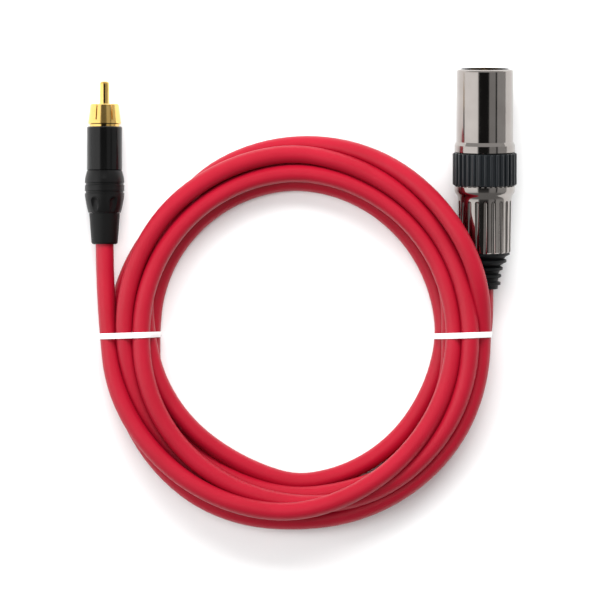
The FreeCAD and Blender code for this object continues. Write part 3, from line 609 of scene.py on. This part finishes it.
def makeRing():
    sizes = barSizes(ring["ribs"], finishes["ring_black"])
    mesh = grown(lathe("core", ring["core"]), barsTree("UNION"), sizes)
    place = plugPlace(xlrTail, xlrAxis)
    finished("xlrRibbedRing", mesh, place, "xlr_ring", "ring_black", "xlr_coupling_ring")


def makeShell(cutter):
    sizes = barSizes(shell["flutes"], finishes["black_nickel"])
    mesh = grown(lathe("wall", shell["wall"]), cutter, sizes)
    place = plugPlace(xlrTail, xlrAxis)
    finished("xlrFlutedShell", mesh, place, "xlr_tail", "black_nickel", "xlr_rear_shell")


def makeGrip(cutter):
    mesh = lathe("sleeve", grip["sleeve"])
    for bars in (grip["petals"], grip["smiles"]):
        mesh = grown(mesh, cutter, barSizes(bars, finishes["grip_black"]))
    place = plugPlace(rcaTail, rcaAxis)
    finished("rcaGrip", mesh, place, "rca_shell", "grip_black", "rca_grip_sleeve")


cutter = barsTree("DIFFERENCE")
makeRing()
makeShell(cutter)
makeGrip(cutter)
print("ring, rear shell and grip made")

stage = {
    "floor": 1.2,  # m from the middle to each side
    "shine": 1.8,  # how bright the brightest part of the room is
    "room": [  # brightness round the plugs' length, by degrees from straight up
        (-180, 0.30), (-103, 0.30), (-97, 1.0), (-31, 1.0), (-26, 0.0), (14, 0.0), (18, 0.26),
        (42, 0.26), (44, 0.0), (48, 0.0), (51, 0.34), (160, 0.34), (180, 0.30),
    ],
    "front": 0.16,  # brightness of the room past the XLR plug's cable end
    "back": 0.40,  # and past its open end
    "endSpread": 3.0,  # how soon the sides give way to the ends
    "endBlend": 0.2,
    "softboxes": {  # place and size in m, power in W
        "backLight": ((0.05, 0.60, 0.60), (0.9, 0.35), 10.0),
        "leftLight": ((-0.6, 0.0, 0.6), (0.25, 0.9), 2.0),
        "topLight": ((0.0, 0.0, 1.3), (0.7, 0.7), 5.0),
    },
    "aim": (0, -0.04, 0),  # what the softboxes point at
}


def makeFloor():
    size = stage["floor"]
    mesh = bpy.data.meshes.new("floor")
    corners = [(-size, -size, 0), (size, -size, 0), (size, size, 0), (-size, size, 0)]
    mesh.from_pydata(corners, [], [(0, 1, 2, 3)])
    floor = bpy.data.objects.new("floor", mesh)
    paper = Shader("paperWhite")
    mesh.materials.append(paper.surface(Base_Color=(0.92, 0.92, 0.92, 1), Roughness=0.9))
    scene.collection.objects.link(floor)


def makeRoom():  # bright and dark panels that lie along the plugs, as in a product studio
    world = bpy.data.worlds.new("studio")
    world.use_nodes = True
    world.node_tree.nodes.clear()
    room = Tree(world.node_tree)
    where = room.add("ShaderNodeTexCoord", output="Generated")
    across, length, up = (room.split(where, axis) for axis in range(3))
    turn = across.maths("ARCTAN2", across, up)
    stops = [(angle / 360 + 0.5, (level, level, level, 1)) for angle, level in stage["room"]]
    sides = room.add("ShaderNodeValToRGB", {"stops": stops}, {"Fac": turn / (2 * math.pi) + 0.5})
    past = length.maths("SMOOTH_MIN", length * length * stage["endSpread"], 1.0, stage["endBlend"])
    ends = stage["front"] + (length > 0.0) * (stage["back"] - stage["front"])
    both = room.add("ShaderNodeMix", {"data_type": "RGBA"}, {0: past, 6: sides, 7: ends}, output=2)
    glow = room.add("ShaderNodeBackground", None, {"Color": both, "Strength": stage["shine"]})
    out = world.node_tree.nodes.new("ShaderNodeOutputWorld")
    world.node_tree.links.new(glow.socket, out.inputs["Surface"])
    scene.world = world


def softbox(name, place, size, power):  # lights the scene and isn't seen in the plating
    light = bpy.data.lights.new(name, "AREA")
    light.shape = "RECTANGLE"
    light.size, light.size_y = size
    light.energy = power
    lamp = bpy.data.objects.new(name, light)
    lamp.location = place
    towards = Vector(stage["aim"]) - Vector(place)
    lamp.rotation_euler = towards.to_track_quat("-Z", "Y").to_euler()
    lamp.visible_camera = False
    lamp.visible_glossy = False
    scene.collection.objects.link(lamp)


makeFloor()
makeRoom()
for name, (place, size, power) in stage["softboxes"].items():
    softbox(name, place, size, power)
print("room lit")
